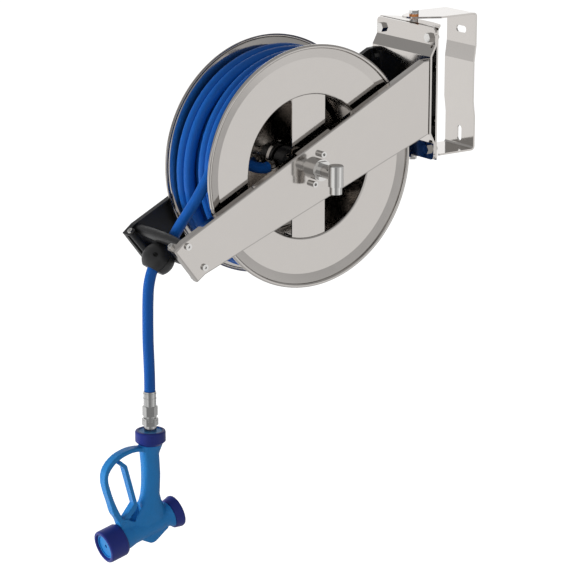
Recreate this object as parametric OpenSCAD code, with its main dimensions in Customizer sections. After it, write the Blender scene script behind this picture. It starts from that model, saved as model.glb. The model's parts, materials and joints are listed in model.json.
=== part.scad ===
// Wall mounted, swivelling, spring driven open hose reel with a wash down gun.
// Origin: centre of the wall face of the wall bracket. +Y points into the wall,
// +X to the water inlet side, +Z up. Millimetres.

/* [Wall bracket] */
// Width of the bent strap
wall_w = 86; // [70:1:120]
// Height of the strap over its two arms
wall_h = 266; // [256:1:300]
// Thickness of the strap
wall_t = 3.5; // [3:0.5:6]
// Distance from the wall to the swivel axis
pivot_reach = 118; // [112:0.5:130]
// How far the middle of the strap is set off the wall
joggle = 4; // [3:0.5:8]
// Height of the level fixing slot above the middle
slot_z = 96; // [90:1:100]
// Depth of the upright fixing slot below the middle
low_slot_z = 106; // [98:1:106]
// Width of the fixing slots
slot_w = 13; // [9:0.5:14]
// End to end length of the fixing slots
slot_l = 30; // [24:1:34]
// Radius of the pivot bolts
pivot_r = 5; // [4:0.5:6]
// Thickness of the bronze washers
washer_t = 2.8; // [2:0.1:4]

/* [Carrier] */
// Height of the middle of the carrier, below the middle of the strap when negative
carrier_mid = -3; // [-3.2:0.1:-2]
// Overall width of the reel frame
frame_w = 177.6; // [174:0.2:200]
// Thickness of the swivel channel and of the carrier plate
plate_t = 4; // [3:0.5:6]
// Set of the carrier plate in front of its two fixing tabs
carrier_set = 10.5; // [9:0.5:14]
// Height of the slanted bands between the flat middle of the carrier plate and its tabs
band_h = 19.5; // [17:0.5:26]
// Distance from the bends of the tabs to the carrier bolts
tab_run = 13.5; // [11.5:0.5:15.5]
// Sideways place of the four carrier bolts
bolt_x = 72; // [60:1:76]
// Distance from the carrier bolts to the ends of the channel
bolt_edge = 20; // [17.5:0.5:21.5]

/* [Arms] */
// Sheet thickness of the arms
arm_t = 3; // [2:0.5:4]
// Depth of the flanges folded round the arms
arm_depth = 14; // [11:0.5:15]
// Bend radius of the arms
arm_bend = 3; // [2:0.5:4]
// Half distance in height of the arm bolts
arm_bolt_z = 51; // [45:1:54]

/* [Drum] */
// Radius of the two flanges over their rolled rims
rim_r = 225; // [220:1:235]
// Distance between the middles of the two rims
drum_w = 136.5; // [132:0.5:138]
// Inner radius of the opening in each flange
open_r = 132.8; // [120:0.2:135]
// Sheet thickness of flanges and barrel
sheet_t = 1.6; // [1:0.1:2]
// Width of the flat bar across each flange
spoke_w = 73; // [60:1:90]
// Distance from the wall to the drum axis
drum_reach = 405; // [400:1:420]
// Drop of the drum axis below the middle of the wall bracket
drum_drop = 109; // [106:0.5:110]
// Radius of the fixed hollow shaft
shaft_r = 14; // [12:0.5:16]
// Radial clearance of running fits
run_gap = 0.05; // [0.02:0.01:0.1]

/* [Hose] */
// Outer radius of the hose
hose_r = 10.2; // [9:0.1:10.4]
// Radius of the middle of the outer layer
wind_r = 198; // [192:0.5:202]
// Turns in the outer layer
wind_turns = 5; // [4:0.5:5]
// Least gap between neighbouring turns
turn_gap = 0.6; // [0.45:0.05:1]

/* [Fairlead] */
// Largest radius of the two crowned rollers
roller_r = 10.5; // [8:0.25:11]
// Distance between the two crowned rollers
roller_space = 55.2; // [50:0.2:60]
// Radius of the two side rollers
side_r = 6.5; // [5.5:0.25:8]
// Radius of the stop ball
ball_r = 30; // [26:0.5:31]

/* [Inlet] */
// Distance from the near arm to the axis of the inlet stub
inlet_out = 57; // [50:0.5:62]
// Radius of the elbow body
elbow_r = 14; // [12:0.25:16]
// Radius of the inlet stub
stub_r = 11.4; // [9:0.1:12]
// Length of the inlet stub below the elbow
stub_l = 14; // [12:0.5:24]

/* [Gun] */
// Radius of the soft ring round the nozzle
nozzle_r = 31; // [27:0.5:34]
// Length of the soft ring round the nozzle
nozzle_l = 39.5; // [34:0.5:44]
// Radius of the rear cap
cap_r = 30.5; // [27:0.5:33]
// Radius of the collar at the top of the grip
collar_r = 28; // [26:0.5:32]
// Width of the trigger guard across the gun
guard_w = 20; // [16:0.5:24]
// Width of the trigger lever
lever_w = 15; // [12:0.5:18]

/* [Hidden] */

steel = [0.77, 0.75, 0.73];
bright = [0.85, 0.85, 0.85];
black = [0.08, 0.08, 0.08];
hose_blue = [0.14, 0.37, 0.78];
gun_blue = [0.2, 0.46, 0.7];
navy = [0.15, 0.17, 0.42];
bronze = [0.75, 0.48, 0.28];

round_n = 64;
seat = 0.3;

// ---------- shared geometry ----------

// Extrudes a (y, z) outline along X, centred on x.
module yz(w, x = 0) {
  translate([x, 0, 0]) rotate([90, 0, 90]) translate([0, 0, -w / 2]) linear_extrude(w) children();
}

// Cylinder along X from x0 to x1 about the point (y, z).
module x_rod(x0, x1, r, y = 0, z = 0, n = round_n) {
  translate([x0, y, z]) rotate([0, 90, 0]) cylinder(h = x1 - x0, r = r, $fn = n);
}

// Cylinder along Y from y0 to y1 about the point (x, z).
module y_rod(y0, y1, r, x = 0, z = 0, n = round_n) {
  translate([x, y0, z]) rotate([-90, 0, 0]) cylinder(h = y1 - y0, r = r, $fn = n);
}

module z_rod(z0, z1, r, x = 0, y = 0, n = round_n) {
  translate([x, y, z0]) cylinder(h = z1 - z0, r = r, $fn = n);
}

function unit(v) = v / norm(v);
function left_of(v) = [-v[1], v[0]];
function reversed(p) = [for (i = [len(p) - 1:-1:0]) p[i]];

// Points of the arc that rounds the corner b between a and c.
function corner_arc(a, b, c, r, n) =
  let (u = unit(a - b), w = unit(c - b), half = acos(max(-1, min(1, u * w))) / 2)
  let (reach = r / tan(half), mid = b + unit(u + w) * (r / sin(half)))
  let (p = b + u * reach - mid, q = b + w * reach - mid)
  [for (i = [0:n]) let (m = unit(p * (1 - i / n) + q * (i / n))) mid + m * r];

// A polyline with its inner corners rounded to radius r.
function rounded(p, r, n = 5) = concat(
  [p[0]],
  [for (i = [1:len(p) - 2]) for (q = corner_arc(p[i - 1], p[i], p[i + 1], r, n)) q],
  [p[len(p) - 1]]
);

function path_normal(p, i) =
  let (a = unit(p[i] - p[max(i - 1, 0)] + (i == 0 ? p[1] - p[0] : [0, 0])))
  let (b = unit(p[min(i + 1, len(p) - 1)] - p[i] + (i == len(p) - 1 ? p[i] - p[i - 1] : [0, 0])))
  let (m = unit(a + b)) left_of(m) / max(0.5, m * a);

// Outline of a sheet of thickness t whose middle follows the path p.
function sheet(p, t) = concat(
  [for (i = [0:len(p) - 1]) p[i] + path_normal(p, i) * t / 2],
  [for (i = [len(p) - 1:-1:0]) p[i] - path_normal(p, i) * t / 2]
);

// A closed outline (counter clockwise) moved inwards by d.
function inset(p, d) = [
  for (i = [0:len(p) - 1])
    let (a = p[(i + len(p) - 1) % len(p)], b = p[i], c = p[(i + 1) % len(p)])
    let (n1 = left_of(unit(b - a)), n2 = left_of(unit(c - b)))
    b + (n1 + n2) * d / (1 + n1 * n2)
];

// Faces of a tube of `rings` closed rings with `sides` points each.
function ring_faces(rings, sides) = concat(
  [[for (k = [0:sides - 1]) k]],
  [
    for (i = [0:rings - 2]) for (k = [0:sides - 1])
      let (a = i * sides + k, b = i * sides + (k + 1) % sides)
      each [[a, a + sides, b], [b, a + sides, b + sides]]
  ],
  [[for (k = [sides - 1:-1:0]) (rings - 1) * sides + k]]
);

// Lofts equal outlines in (y, z) placed at the given x values.
module loft_x(outlines, xs) {
  sides = len(outlines[0]);
  polyhedron(
    points = [for (i = [0:len(xs) - 1]) for (q = outlines[i]) [xs[i], q[0], q[1]]],
    faces = ring_faces(len(xs), sides)
  );
}

// A direction square to t, as near as possible to `hint`.
function square_to(t, hint) = unit(hint - t * (hint * t));

// Sweeps a circle of radius r along the points p.
module tube(p, r, sides, hint = [1, 0, 0.02]) {
  rings = len(p);
  points = [
    for (i = [0:rings - 1])
      let (t = unit(p[min(i + 1, rings - 1)] - p[max(i - 1, 0)]))
      let (u = square_to(t, hint), w = cross(t, u))
      for (k = [0:sides - 1])
        let (a = 360 * k / sides) p[i] + (u * cos(a) + w * sin(a)) * r
  ];
  polyhedron(points = points, faces = ring_faces(rings, sides));
}

// Catmull-Rom curve through the points p with n steps between neighbours.
function spline(p, n) = concat(
  [
    for (i = [0:len(p) - 2]) for (k = [0:n - 1])
      let (a = p[max(i - 1, 0)], b = p[i], c = p[i + 1], d = p[min(i + 2, len(p) - 1)], s = k / n)
      (2 * b + (c - a) * s + (2 * a - 5 * b + 4 * c - d) * s * s
        + (3 * b - a - 3 * c + d) * s * s * s) / 2
  ],
  [p[len(p) - 1]]
);

module hex_head(r, h) { cylinder(h = h, r = r, $fn = 6); }

// ---------- derived places ----------
half_w = frame_w / 2;
arm_in = half_w - arm_depth;
wall_in = wall_h / 2 - wall_t;
channel_half = wall_in + carrier_mid - 1;
bolt_z = channel_half - bolt_edge;
tab_z = bolt_z - tab_run;
carrier_flat = tab_z - band_h;
boss_top = wall_in - washer_t - 0.1;
arm_bolt_mid = -4;
tab_front = -pivot_reach - 19;
carrier_front = tab_front - carrier_set;
channel_front = tab_front + plate_t;
drum_at = [-drum_reach, -drum_drop];
rim_bead = 3.2;
rim_x = drum_w / 2;
flat_x = rim_x - 3.4;
flange_in = flat_x - sheet_t;
barrel_r = open_r + 2 * sheet_t + 0.1;

// Arm outline about the drum axis, counter clockwise in (y, z).
arm_tip_low = [-260, -173];
arm_tip_top = [-307.5, -111];
arm_shoulder = [-289.5, -95.5];
arm_back = drum_reach + carrier_front;
arm_outline = [
  arm_tip_low,
  [-243, -161],
  [arm_back, 32.5],
  [arm_back, 174],
  [arm_back - 16, 173],
  arm_shoulder,
  arm_tip_top
];
arm_path = [for (p = arm_outline) p + drum_at];

// Fairlead frame: the upper roller, the way down the front edge and the way out.
lead_down = unit([0.628, -0.778]);
lead_out = [lead_down[1], -lead_down[0]];
upper_at = [-280.5, -104] + drum_at;
lower_at = upper_at + lead_down * roller_space;
lead_mid = (upper_at + lower_at) / 2;
ball_off = sqrt(pow(ball_r + roller_r + seat, 2) - pow(roller_space / 2, 2));
ball_at = lead_mid + lead_out * ball_off;
hose_in = unit([-0.65, -0.76]);
hose_down = unit([-0.56, -0.83]);
side_x = arm_in - side_r - 0.5;
side_span = 78;
side_top = upper_at + lead_out * 17.4 - lead_down * 11.5;
side_tilt = atan2(lead_down[0], -lead_down[1]);
lug_t = 3;
roller_half = half_w - arm_t - 1.5;

// Hose hang and gun.
gun_y = -713.5;
hose_end = -497.5;
ferrule_l = 27;
nut_l = 20;
adaptor_l = 40;
nut_z = hose_end - ferrule_l;
adaptor_z = nut_z - nut_l;
collar_z = -571.5;
collar_h = 26;
barrel_tilt = 13.6;
nozzle_at = [-818, -777];
barrel_l = 164;
cap_l = 18;
body_l = barrel_l - cap_l;
trigger_at = [-776, -736];

// ---------- wall side ----------

function strap_path() =
  let (h = wall_h / 2 - wall_t / 2, b = -wall_t / 2)
  let (m = b - joggle, nose = -pivot_reach - 22)
  concat(
    [[nose, h]],
    corner_arc([nose, h], [b, h], [b, 0], 6, 6),
    [[b, 69], [m, 38.5], [m, -38.5], [b, -69]],
    corner_arc([b, 0], [b, -h], [nose, -h], 6, 6),
    [[nose, -h]]
  );

// Plan outline of one arm of the strap.
module strap_plan(y0) {
  nose = 22;
  polygon(concat(
    [[-wall_w / 2, 1], [-wall_w / 2, y0]],
    [for (a = [204:6:336]) [0, -pivot_reach] + nose * [cos(a), sin(a)]],
    [[wall_w / 2, y0], [wall_w / 2, 1]]
  ));
}

module wall_bracket() {
  color(steel) difference() {
    intersection() {
      yz(wall_w) polygon(sheet(strap_path(), wall_t));
      translate([0, 0, -wall_h]) linear_extrude(2 * wall_h) strap_plan(-86);
    }
    z_rod(-wall_h, wall_h, pivot_r + run_gap, 0, -pivot_reach);
    // horizontal upper slot and upright lower slot
    for (s = [-1, 1])
      y_rod(-wall_t - 1, 1, slot_w / 2, s * (slot_l - slot_w) / 2, slot_z);
    translate([-(slot_l - slot_w) / 2, -wall_t - 1, slot_z - slot_w / 2])
      cube([slot_l - slot_w, wall_t + 2, slot_w]);
    for (s = [-1, 1])
      y_rod(-wall_t - 1, 1, slot_w / 2, 0, -low_slot_z + s * (slot_l - slot_w) / 2);
    translate([-slot_w / 2, -wall_t - 1, -low_slot_z - (slot_l - slot_w) / 2])
      cube([slot_w, wall_t + 2, slot_l - slot_w]);
  }
}

module channel_plan() {
  back = -pivot_reach + 19;
  polygon([
    [-half_w, channel_front - 0.001], [half_w, channel_front - 0.001],
    [half_w, channel_front + plate_t],
    [half_w - 26, back - 5], [34, back], [-34, back], [-half_w + 26, back - 5],
    [-half_w, channel_front + plate_t]
  ]);
}

module swivel_channel() {
  back = -pivot_reach + 19;
  top = channel_half - plate_t / 2;
  path = rounded([[back, top], [channel_front + plate_t / 2, top],
    [channel_front + plate_t / 2, -top], [back, -top]], 4, 4);
  color(steel) translate([0, 0, carrier_mid]) difference() {
    union() {
      intersection() {
        yz(frame_w) polygon(sheet(path, plate_t));
        translate([0, 0, -wall_h]) linear_extrude(2 * wall_h) channel_plan();
      }
      // thrust boss under the upper arm of the strap
      z_rod(channel_half - 1, boss_top - carrier_mid, washer_r - 1, 0, -pivot_reach);
    }
    z_rod(-wall_h, wall_h, pivot_r + run_gap, 0, -pivot_reach);
    for (x = [-bolt_x, bolt_x]) for (z = [-bolt_z, bolt_z])
      y_rod(channel_front - 1, channel_front + plate_t + 1, bolt_r + 0.2, x, z, 32);
    // sheared notches at the four bend ends
    for (x = [-1, 1]) for (z = [-1, 1])
      translate([x * (half_w - 4), channel_front + 2, z * channel_half]) cube([10, 3, 10], center = true);
  }
}

washer_r = 9;

module pivot_bolts() {
  color(bright) for (s = [0, 1]) mirror([0, 0, s]) translate([0, -pivot_reach, 0]) {
    inner = channel_half - plate_t + (s == 0 ? carrier_mid : -carrier_mid);
    z_rod(inner - 12, wall_h / 2 + washer_t, pivot_r);
    z_rod(wall_h / 2 + washer_t, wall_h / 2 + washer_t + 1.6, washer_r);
    translate([0, 0, wall_h / 2 + washer_t + 1.6]) hex_head(washer_r, 5);
    difference() {
      translate([0, 0, inner - 8]) hex_head(washer_r, 8);
      z_rod(inner - 20, inner + 1, pivot_r + 0.02);
    }
  }
}

// Three thick washers and the thin one that carries the frame on the lower arm.
module bronze_washers() {
  color(bronze) translate([0, -pivot_reach, 0]) difference() {
    union() {
      z_rod(wall_h / 2, wall_h / 2 + washer_t, washer_r);
      z_rod(boss_top, wall_in, washer_r);
      z_rod(-wall_in, carrier_mid - channel_half, washer_r);
      z_rod(-wall_h / 2 - washer_t, -wall_h / 2, washer_r);
    }
    z_rod(-wall_h, wall_h, pivot_r + run_gap);
  }
}

// ---------- carrier ----------
bolt_r = 5;

function carrier_path() =
  let (f = tab_front + plate_t / 2, m = carrier_front + plate_t / 2, e = channel_half - 1)
  rounded([[f, e], [f, tab_z], [m, carrier_flat], [m, -carrier_flat], [f, -tab_z], [f, -e]], 4, 3);

module carrier_plate() {
  color(steel) translate([0, 0, carrier_mid]) difference() {
    intersection() {
      yz(frame_w) polygon(sheet(carrier_path(), plate_t));
      // rounded corners of the two tabs
      union() {
        translate([-half_w, -400, -tab_z - 20]) cube([frame_w, 400, 2 * tab_z + 40]);
        for (x = [-1, 1]) for (z = [-1, 1])
          y_rod(-400, 0, 9, x * (half_w - 9), z * (channel_half - 10), 32);
        translate([-half_w + 9, -400, -channel_half]) cube([frame_w - 18, 400, 2 * channel_half]);
      }
    }
    for (x = [-bolt_x, bolt_x]) for (z = [-bolt_z, bolt_z])
      y_rod(tab_front - 1, tab_front + plate_t + 1, bolt_r + 0.2, x, z, 32);
    for (x = [-1, 1]) for (z = [-1, 1])
      y_rod(carrier_front - 1, carrier_front + plate_t + 1, 4.1, x * (arm_in + 1),
        arm_bolt_mid - carrier_mid + z * arm_bolt_z, 24);
    for (z = [-1, 1]) y_rod(-200, 0, 3, half_w - 8, z * (tab_z - 2), 24);
  }
}

module spacer_plate() {
  low = carrier_flat + 12;
  color(black) translate([0, 0, carrier_mid]) difference() {
    yz(2 * bolt_x + 10) polygon([
      [carrier_front + plate_t, -carrier_flat + 2], [channel_front - seat / 3, -low],
      [channel_front - seat / 3, low], [carrier_front + plate_t, carrier_flat - 2]
    ]);
    for (x = [-1, 1]) for (z = [-1, 1])
      y_rod(-200, 0, 9, x * (arm_in + 1), arm_bolt_mid - carrier_mid + z * arm_bolt_z, 24);
  }
}

module carrier_bolts() {
  color(bright) for (x = [-bolt_x, bolt_x]) for (z = [-bolt_z, bolt_z])
    translate([x, tab_front, carrier_mid + z]) {
      rotate([-90, 0, 0]) cylinder(h = 19, r = bolt_r, $fn = 32);
      rotate([90, 0, 0]) hex_head(9.4, 6.4);
    }
}

module carrier_nuts() {
  back = channel_front + plate_t;
  color(bright) for (x = [-bolt_x, bolt_x]) for (z = [-bolt_z, bolt_z])
    translate([x, back, carrier_mid + z]) rotate([-90, 0, 0]) difference() {
      hex_head(9.4, 8);
      translate([0, 0, -1]) cylinder(h = 12, r = bolt_r + 0.02, $fn = 32);
    }
}

// ---------- arms ----------

// Pressed tray on the +X side: web at half_w, flanges folded inwards.
module arm_tray() {
  b = arm_bend;
  outer = [for (d = [0, 0, 0.3, 1]) inset(arm_path, d * b)];
  inner = inset(arm_path, arm_t);
  difference() {
    loft_x(outer, [arm_in, half_w - b, half_w - 0.35 * b, half_w]);
    loft_x([inner, inner, inset(arm_path, arm_t + b * 0.5)],
      [arm_in - 1, half_w - arm_t - b * 0.5, half_w - arm_t]);
  }
}

module arm_holes() {
  for (p = [upper_at, lower_at]) x_rod(arm_in - 30, half_w + 5, 4.1, p[0], p[1], 24);
}

// Foot of an arm, folded in against the carrier plate.
module arm_foot() {
  translate([arm_in - 14, carrier_front - arm_t, -drum_drop + 36]) cube([14 + arm_t, arm_t, 132]);
}

// Tray, foot and lugs of one arm with the two foot bolt holes.
module arm_shape() {
  difference() {
    union() {
      arm_tray();
      arm_foot();
      side_lugs();
    }
    for (z = [-1, 1])
      y_rod(carrier_front - 12, carrier_front + 1, 4.1, arm_in + 1, arm_bolt_mid + z * arm_bolt_z, 24);
  }
}

module near_arm() {
  color(steel) difference() {
    arm_shape();
    arm_holes();
    x_rod(half_w - 10, half_w + 5, 12.1, drum_at[0], drum_at[1]);
    for (a = [73, 248]) let (q = drum_at + 28 * [cos(a), sin(a)])
      x_rod(half_w - 10, half_w + 5, 3.1, q[0], q[1], 24);
  }
}

module far_arm() {
  color(black) mirror([1, 0, 0]) difference() {
    arm_shape();
    arm_holes();
    x_rod(half_w - 10, half_w + 5, shaft_r + 0.1, drum_at[0], drum_at[1]);
    x_rod(half_w - 10, half_w + 5, 4, pawl_at[0], pawl_at[1], 24);
  }
}

// Round ended lugs that carry a side roller axle, in line with the two end flanges.
module side_lugs() {
  translate([side_x, side_top[0], side_top[1]]) rotate([side_tilt, 0, 0])
    for (z = [-lug_t, -side_span]) difference() {
      union() {
        translate([0, 0, z]) cylinder(h = lug_t, r = 8, $fn = 32);
        translate([0, -8, z]) cube([half_w - side_x - arm_t / 2, 16, lug_t]);
      }
      translate([0, 0, z - 1]) cylinder(h = lug_t + 2, r = 3.1, $fn = 24);
    }
}

module arm_bolts() {
  color(bright) for (x = [-1, 1]) for (z = [-1, 1])
    translate([x * (arm_in + 1), carrier_front, arm_bolt_mid + z * arm_bolt_z]) rotate([-90, 0, 0]) {
      translate([0, 0, -arm_t - 5]) hex_head(7, 5);
      translate([0, 0, -arm_t]) cylinder(h = arm_t + plate_t + 5.5, r = 4, $fn = 24);
      difference() {
        translate([0, 0, plate_t]) hex_head(7, 4);
        cylinder(h = 20, r = 4.02, $fn = 24);
      }
    }
}

// ---------- shaft and inlet ----------

module main_shaft() {
  color(bright) translate([0, drum_at[0], drum_at[1]]) difference() {
    union() {
      x_rod(-half_w - 9, half_w - arm_t, shaft_r);
      x_rod(half_w - arm_t - 7, half_w - arm_t, 34);
    }
    x_rod(-2, half_w, 7.5);
    x_rod(-half_w - 10, -half_w + 3, 4, 0, 0, 24);
    for (a = [0:90:270]) rotate([a, 0, 0]) z_rod(0, shaft_r + 1, 3.5, 0, 0, 24);
    for (a = [73, 248]) x_rod(half_w - 12, half_w, 3.1, 28 * cos(a), 28 * sin(a), 24);
  }
}

module shaft_nut() {
  color(bright) translate([-half_w - 7, drum_at[0], drum_at[1]]) rotate([0, 90, 0]) difference() {
    hex_head(22, 7);
    translate([0, 0, -1]) cylinder(h = 9, r = shaft_r + 0.02, $fn = round_n);
  }
}

housing_l = 28;

module inlet_housing() {
  color(bright) translate([half_w, drum_at[0], drum_at[1]]) rotate([0, 90, 0]) difference() {
    union() {
      translate([0, 0, -arm_t]) cylinder(h = arm_t, r = 12, $fn = round_n);
      cylinder(h = 15, r = 20, $fn = round_n);
      translate([0, 0, 14]) rotate([0, 0, 30]) hex_head(18.5, 5);
      translate([0, 0, 17]) cylinder(h = housing_l - 17, r = 12.5, $fn = round_n);
    }
    translate([0, 0, -arm_t - 1]) cylinder(h = 6, r = 7.5, $fn = round_n);
    translate([0, 0, 3]) cylinder(h = housing_l, r = 9 + run_gap, $fn = round_n);
  }
}

module housing_screws() {
  color(bright) for (a = [73, 248]) let (q = drum_at + 28 * [cos(a), sin(a)])
    translate([half_w, q[0], q[1]]) rotate([0, 90, 0]) difference() {
      union() {
        translate([0, 0, -arm_t - 7]) cylinder(h = arm_t + 8, r = 3, $fn = 24);
        cylinder(h = 10, r = 5.6, $fn = 32);
      }
      translate([0, 0, 6]) cylinder(h = 6, r = 3, $fn = 6);
    }
}

elbow_gap = 0.4;
elbow_high = 17;
elbow_low = 21.5;

module inlet_elbow() {
  x0 = half_w + housing_l + elbow_gap;
  xs = half_w + inlet_out;
  color(bright) translate([0, drum_at[0], drum_at[1]]) difference() {
    union() {
      x_rod(half_w + 4, x0, 9);
      x_rod(x0, xs, elbow_r - 1.5);
      z_rod(-elbow_low, elbow_high - 1.5, elbow_r, xs);
      translate([xs, 0, elbow_high - 1.5])
        cylinder(h = 1.5, r1 = elbow_r, r2 = elbow_r - 1.5, $fn = round_n);
      z_rod(-elbow_low - stub_l, -elbow_low, stub_r, xs);
    }
    x_rod(half_w, xs, 6);
    z_rod(-60, 0, 7, xs);
  }
}

// ---------- drum ----------

// Middle line of a flange in (r, x): lip, flat face, flared edge, rolled rim.
function flange_profile() = concat(
  [[open_r + sheet_t / 2, flat_x - 12]],
  corner_arc([open_r + sheet_t / 2, 0], [open_r + sheet_t / 2, flat_x - sheet_t / 2],
    [rim_r, flat_x - sheet_t / 2], 3, 5),
  [[rim_r - 25, flat_x - sheet_t / 2], [rim_r - 7.5, rim_x - 0.8]],
  [for (a = [205:-20:-35])
    [rim_r - rim_bead - 0.8 + rim_bead * cos(a), rim_x + 1.2 + rim_bead * sin(a)]]
);

module flange() {
  translate([0, drum_at[0], drum_at[1]]) rotate([0, 90, 0]) rotate_extrude($fn = 128)
    polygon(sheet(flange_profile(), sheet_t));
}

module near_flange() { color(steel) flange(); }
module far_flange() { color(steel) mirror([1, 0, 0]) flange(); }

barrel_half = flange_in - 2.4;

module drum_barrel() {
  color(steel) translate([0, drum_at[0], drum_at[1]]) difference() {
    x_rod(-barrel_half, barrel_half, barrel_r, 0, 0, 128);
    x_rod(-flange_in - 1, flange_in + 1, barrel_r - sheet_t, 0, 0, 128);
    rotate([tail_angle, 0, 0]) z_rod(barrel_r - 30, barrel_r + 5, hose_r + 0.6, tail_x, 0, 48);
  }
}

// Flat bar across a flange opening with feet folded along its lip.
module spoke(bore) {
  x1 = flat_x - 3;
  foot_r = open_r - 0.1;
  translate([0, drum_at[0], drum_at[1]]) difference() {
    intersection() {
      union() {
        x_rod(x1 - arm_t, x1, foot_r, 0, 0, 128);
        difference() {
          x_rod(x1 - 26, x1, foot_r, 0, 0, 128);
          x_rod(x1 - 30, x1 + 1, foot_r - arm_t, 0, 0, 128);
        }
      }
      translate([0, -spoke_w / 2, -open_r]) cube([200, spoke_w, 2 * open_r]);
    }
    x_rod(0, 200, bore);
  }
}

bush_r = 19;

module near_spoke() { color(steel) spoke(bush_r + 0.02); }
module far_spoke() { color(steel) mirror([1, 0, 0]) spoke(bush_r + 0.02); }

// Flanged bearing bush seated on a spoke.
module bearing() {
  x1 = flat_x - 3;
  translate([0, drum_at[0], drum_at[1]]) difference() {
    union() {
      x_rod(x1 - arm_t - 9, x1, bush_r);
      x_rod(x1 - arm_t - 5, x1 - arm_t, 27);
    }
    x_rod(0, 200, shaft_r + run_gap);
  }
}

module near_bearing() { color(bright) bearing(); }
module far_bearing() { color(bright) mirror([1, 0, 0]) bearing(); }

collar_w = 28;
collar_or = 25;
port_angle = 98;
tail_angle = 82;
tail_x = 12;

// Rotary water joint that turns with the drum.
module water_collar() {
  color(black) translate([0, drum_at[0], drum_at[1]]) difference() {
    union() {
      x_rod(-collar_w / 2, collar_w / 2, collar_or);
      rotate([port_angle, 0, 0]) z_rod(0, collar_or + 5, 9);
    }
    x_rod(-collar_w, collar_w, shaft_r + run_gap);
    rotate([port_angle, 0, 0]) z_rod(0, collar_or + 6, 5);
    for (a = [45:90:315]) x_rod(collar_w / 2 - 10, collar_w / 2 + 1, 2, 20 * cos(a), 20 * sin(a), 24);
  }
}

module collar_screws() {
  color(bright) translate([collar_w / 2, drum_at[0], drum_at[1]]) for (a = [45:90:315]) {
    x_rod(0, 2.5, 3.4, 20 * cos(a), 20 * sin(a), 24);
    x_rod(-9, 0.5, 1.95, 20 * cos(a), 20 * sin(a), 24);
  }
}

fit_start = collar_or + 5;
fit_end = collar_or + 22;

module inner_fitting() {
  color(bright) translate([0, drum_at[0], drum_at[1]]) rotate([port_angle, 0, 0]) difference() {
    union() {
      z_rod(fit_start, fit_start + 7, 12, 0, 0, 6);
      z_rod(fit_start + 7, fit_end, 10.5);
    }
    z_rod(fit_start - 1, fit_end + 1, 6);
  }
}

// Direction in (y, z) of a radius turned by `a` about X from straight up.
function radial(a) = [0, -sin(a), cos(a)];

// Route of the hose inside the drum, from the fitting to the barrel wall.
function tail_points() =
  let (c = [0, drum_at[0], drum_at[1]], p = radial(port_angle), q = radial(tail_angle))
  [
    c + p * (fit_end + seat), c + p * (fit_end + 4), c + p * (fit_end + 9),
    c + [3, -74, -3.5], c + [8, -95, 5], c + [tail_x, 0, 0] + q * (barrel_r - 16),
    c + [tail_x, 0, 0] + q * (barrel_r - 8), c + [tail_x, 0, 0] + q * (barrel_r - 0.3)
  ];

module hose_tail() { color(hose_blue) tube(spline(tail_points(), 3), hose_r, 10, [1, 0, 0]); }

case_x0 = -(flat_x - 3 - arm_t) + 0.2;
case_x1 = -collar_w / 2 - 8;
case_gap = 3.8;
case_r = open_r - case_gap;

// Spring case: a cup that turns with the drum, open to the near side.
module spring_case() {
  color(steel) translate([0, drum_at[0], drum_at[1]]) difference() {
    x_rod(case_x0, case_x1 - 3, case_r);
    x_rod(case_x0 + 2.5, case_x1, case_r - 2.5);
    x_rod(case_x0 - 1, case_x1, 28);
  }
}

module spring_cover() {
  color(steel) translate([0, drum_at[0], drum_at[1]]) difference() {
    union() {
      x_rod(case_x1 - 3, case_x1, case_r);
      x_rod(case_x1 - 3, case_x1 + 4, 34);
    }
    x_rod(case_x1 - 4, case_x1 + 5, 20);
  }
}

spring_turns = 9;

function spiral(n0, n1) = [
  for (i = [0:1:spring_turns * 16])
    let (a = i * 360 / 16, r = n0 + (n1 - n0) * i / (spring_turns * 16)) r * [cos(a), sin(a)]
];

// Flat spiral spring, wound from the shaft to the wall of its case.
module power_spring() {
  color([0.35, 0.37, 0.4])
    yz(22, case_x1 - 4 - 11)
      translate(drum_at) polygon(sheet(spiral(shaft_r + 1.2, case_r - 4.2), 1.2));
}

ratchet_r = 60;
ratchet_n = 24;

module ratchet_wheel() {
  x0 = -flat_x - 2.2;
  color(steel) translate([x0, drum_at[0], drum_at[1]]) rotate([0, 90, 0]) difference() {
    linear_extrude(5) polygon([
      for (i = [0:ratchet_n - 1]) let (a = i * 360 / ratchet_n)
        each [ratchet_r * [cos(a), sin(a)], (ratchet_r - 6) * [cos(a + 1), sin(a + 1)]]
    ]);
    translate([0, 0, -1]) cylinder(h = 8, r = 30, $fn = round_n);
  }
}

pawl_at = drum_at + [68, 52.5];
pawl_x = -flat_x - 2.2;

module pawl() {
  color(bright) difference() {
    union() {
      x_rod(pawl_x - 0.5, pawl_x + 4.5, 9, pawl_at[0], pawl_at[1]);
      translate([pawl_x - 0.5, 0, 0]) rotate([90, 0, 90]) linear_extrude(5) translate(pawl_at)
        polygon([[0, 8.5], [-39, 7.5], [-40.5, 2], [-33, 4], [-8, -6]]);
    }
    x_rod(pawl_x - 5, pawl_x + 10, 4 + run_gap, pawl_at[0], pawl_at[1]);
  }
}

module pawl_pin() {
  color(bright) {
    x_rod(-half_w - 4, pawl_x + 4.7, 3.95, pawl_at[0], pawl_at[1]);
    x_rod(-half_w + arm_t, pawl_x - 1, 7, pawl_at[0], pawl_at[1]);
    x_rod(-half_w - 5, -half_w, 8, pawl_at[0], pawl_at[1]);
  }
}

// ---------- hose ----------
core_gap = 0.4;
core_r = wind_r - hose_r - core_gap;
wind_half = flange_in - hose_r - 0.3;
wind_pitch = 2 * hose_r + turn_gap;
wind_rings = 24;
wind_start = wind_half - wind_pitch * wind_turns;

module hose_core() {
  color(hose_blue) translate([0, drum_at[0], drum_at[1]]) difference() {
    x_rod(-flange_in + seat, flange_in - seat, core_r, 0, 0, 96);
    x_rod(-flange_in - 1, flange_in + 1, barrel_r + seat, 0, 0, 96);
  }
}

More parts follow.
